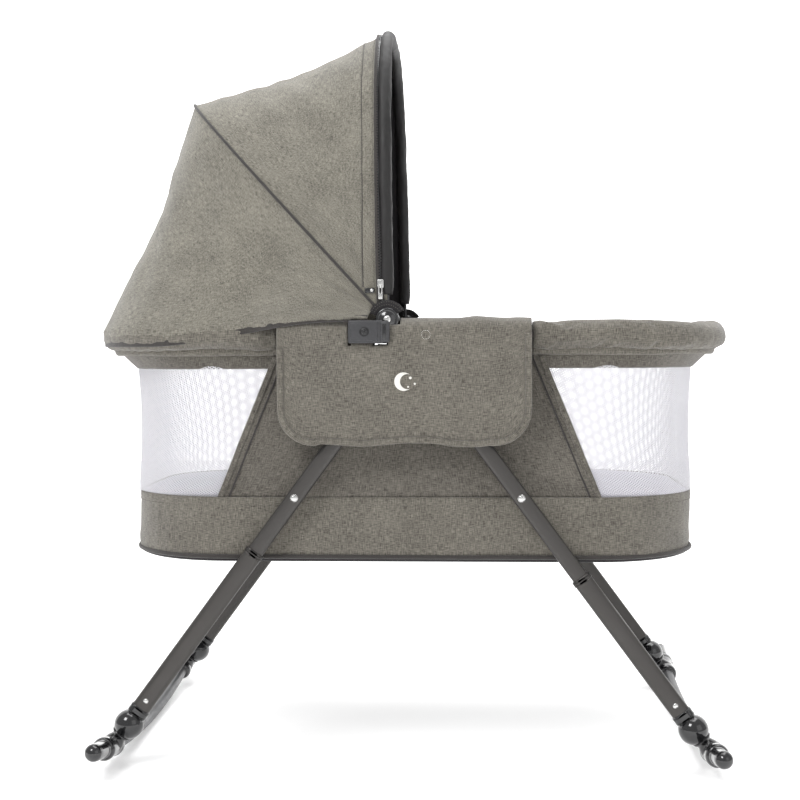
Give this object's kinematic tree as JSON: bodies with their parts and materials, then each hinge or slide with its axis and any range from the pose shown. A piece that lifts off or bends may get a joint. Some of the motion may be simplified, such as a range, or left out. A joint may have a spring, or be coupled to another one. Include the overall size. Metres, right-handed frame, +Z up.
{
  "type": "bassinet on stand",
  "caption": "Folding travel bassinet: soft oval tub with mesh windows hung in a padded rim on two pairs of folding legs with curved rocker rails, and a fold-back canopy",
  "frame": {"origin": "on the floor under the middle of the tub", "axes": "+Z up; +X to the foot end, -X to the head end with the canopy; +Y to the right side, -Y to the left side; the rockers roll about X, from left to right"},
  "size_m": [0.9327, 0.6944, 1.0424],
  "materials": {
    "leg_paint": "matt gunmetal powder coat",
    "rail_tube": "satin dark grey tube",
    "black_plastic": "glossy black moulding",
    "grey_plastic": "fine textured dark grey moulding",
    "steel": "bright zinc-plated rivets and screws",
    "hoop_wire": "dark coated spring wire",
    "dark_cloth": "black woven binding and lining",
    "mesh_cloth": "white knitted mesh with small hexagonal holes",
    "mattress_cover": "pale lilac-white quilted cover",
    "heather_cloth": "taupe-grey heather woven polyester"
  },
  "bodies": {
    "tub": {"leg_pin_head_left": "steel", "rail_pin_head_left": "steel", "leg_pin_foot_left": "steel", "rail_pin_foot_left": "steel", "hub_housing_left": "grey_plastic", "rim_flap_left": "heather_cloth", "leg_pin_head_right": "steel", "rail_pin_head_right": "steel", "leg_pin_foot_right": "steel", "rail_pin_foot_right": "steel", "hub_housing_right": "grey_plastic", "rim_flap_right": "heather_cloth", "base_band": "heather_cloth", "floor_board": "dark_cloth", "side_panel_left": "heather_cloth", "side_panel_right": "heather_cloth", "mesh_end_head": "mesh_cloth", "mesh_end_foot": "mesh_cloth"},
    "head_legs": {"upper_leg_head_left": "leg_paint", "lower_leg_head_left": "leg_paint", "knuckle_head_left": "black_plastic", "upper_leg_head_right": "leg_paint", "lower_leg_head_right": "leg_paint", "knuckle_head_right": "black_plastic"},
    "foot_legs": {"upper_leg_foot_left": "leg_paint", "lower_leg_foot_left": "leg_paint", "knuckle_foot_left": "black_plastic", "upper_leg_foot_right": "leg_paint", "lower_leg_foot_right": "leg_paint", "knuckle_foot_right": "black_plastic"},
    "head_rocker": {"rocker_rail_head": "rail_tube", "collar_head_left": "black_plastic", "rail_cap_head_left": "black_plastic", "collar_head_right": "black_plastic", "rail_cap_head_right": "black_plastic"},
    "foot_rocker": {"rocker_rail_foot": "rail_tube", "collar_foot_left": "black_plastic", "rail_cap_foot_left": "black_plastic", "collar_foot_right": "black_plastic", "rail_cap_foot_right": "black_plastic"},
    "head_rim": {"rim_rail_head": "rail_tube", "rim_pad_head": "heather_cloth", "canopy_clamp_left": "grey_plastic", "canopy_clamp_right": "grey_plastic", "clamp_screw_left": "grey_plastic", "clamp_screw_right": "grey_plastic", "canopy_pin_left": "steel", "canopy_pin_right": "steel", "rear_hoop": "hoop_wire", "canopy_rear_panel": "heather_cloth"},
    "foot_rim": {"rim_rail_foot": "rail_tube", "rim_pad_foot": "heather_cloth"},
    "mid_canopy": {"mid_hoop": "hoop_wire", "canopy_front_panel": "heather_cloth"},
    "front_canopy": {"front_hoop": "hoop_wire", "hoop_sleeve": "dark_cloth"},
    "left_button": {"release_button_left": "black_plastic"},
    "right_button": {"release_button_right": "black_plastic"},
    "mattress_pad": {"mattress": "mattress_cover"}
  },
  "joints": [
    {"name": "leg_fold", "type": "hinge", "parent": "tub", "child": "head_legs", "pos_m": [-0.02, 0, 0.5539], "axis": [0, -1, 0], "range_deg": [0, 31]},
    {"name": "foot_leg_fold", "type": "hinge", "parent": "tub", "child": "foot_legs", "pos_m": [0.02, 0, 0.5539], "axis": [0, 1, 0], "range_deg": [0, 31]},
    {"name": "head_rim_fold", "type": "hinge", "parent": "tub", "child": "head_rim", "pos_m": [-0.012, 0, 0.595], "axis": [0, -1, 0], "range_deg": [0, 70], "deforming": ["base_band", "floor_board", "mesh_end_head", "mesh_end_foot", "side_panel_left", "side_panel_right", "rim_flap_left", "rim_flap_right", "mattress"]},
    {"name": "foot_rim_fold", "type": "hinge", "parent": "tub", "child": "foot_rim", "pos_m": [0.012, 0, 0.595], "axis": [0, 1, 0], "range_deg": [0, 70]},
    {"name": "head_rocker_flip", "type": "hinge", "parent": "head_legs", "child": "head_rocker", "pos_m": [-0.386, 0, 0.058], "axis": [0, -1, 0], "range_deg": [0, 90]},
    {"name": "foot_rocker_flip", "type": "hinge", "parent": "foot_legs", "child": "foot_rocker", "pos_m": [0.386, 0, 0.058], "axis": [0, 1, 0], "range_deg": [0, 90]},
    {"name": "canopy_fold", "type": "hinge", "parent": "head_rim", "child": "mid_canopy", "pos_m": [-0.026, 0, 0.614], "axis": [0, -1, 0], "range_deg": [0, 37.5], "deforming": ["canopy_rear_panel"]},
    {"name": "front_hoop_fold", "type": "hinge", "parent": "mid_canopy", "child": "front_canopy", "pos_m": [-0.026, 0, 0.614], "axis": [0, -1, 0], "range_deg": [0, 29.5], "deforming": ["canopy_front_panel"]},
    {"name": "left_button_press", "type": "slide", "parent": "tub", "child": "left_button", "axis": [0, 1, 0], "range_m": [0, 0.0035], "stiffness_N_per_m": 300, "springref_m": -0.003},
    {"name": "right_button_press", "type": "slide", "parent": "tub", "child": "right_button", "axis": [0, -1, 0], "range_m": [0, 0.0035], "stiffness_N_per_m": 300, "springref_m": -0.003},
    {"name": "mattress_lift", "type": "slide", "parent": "tub", "child": "mattress_pad", "axis": [0, 0, 1], "range_m": [0, 0.25]}
  ],
  "couplings": [
    {"joint": "foot_leg_fold", "follows": "leg_fold", "ratio": 1},
    {"joint": "head_rim_fold", "follows": "leg_fold", "ratio": 2.2581},
    {"joint": "foot_rim_fold", "follows": "leg_fold", "ratio": 2.2581},
    {"joint": "front_hoop_fold", "follows": "canopy_fold", "ratio": 0.78667}
  ]
}
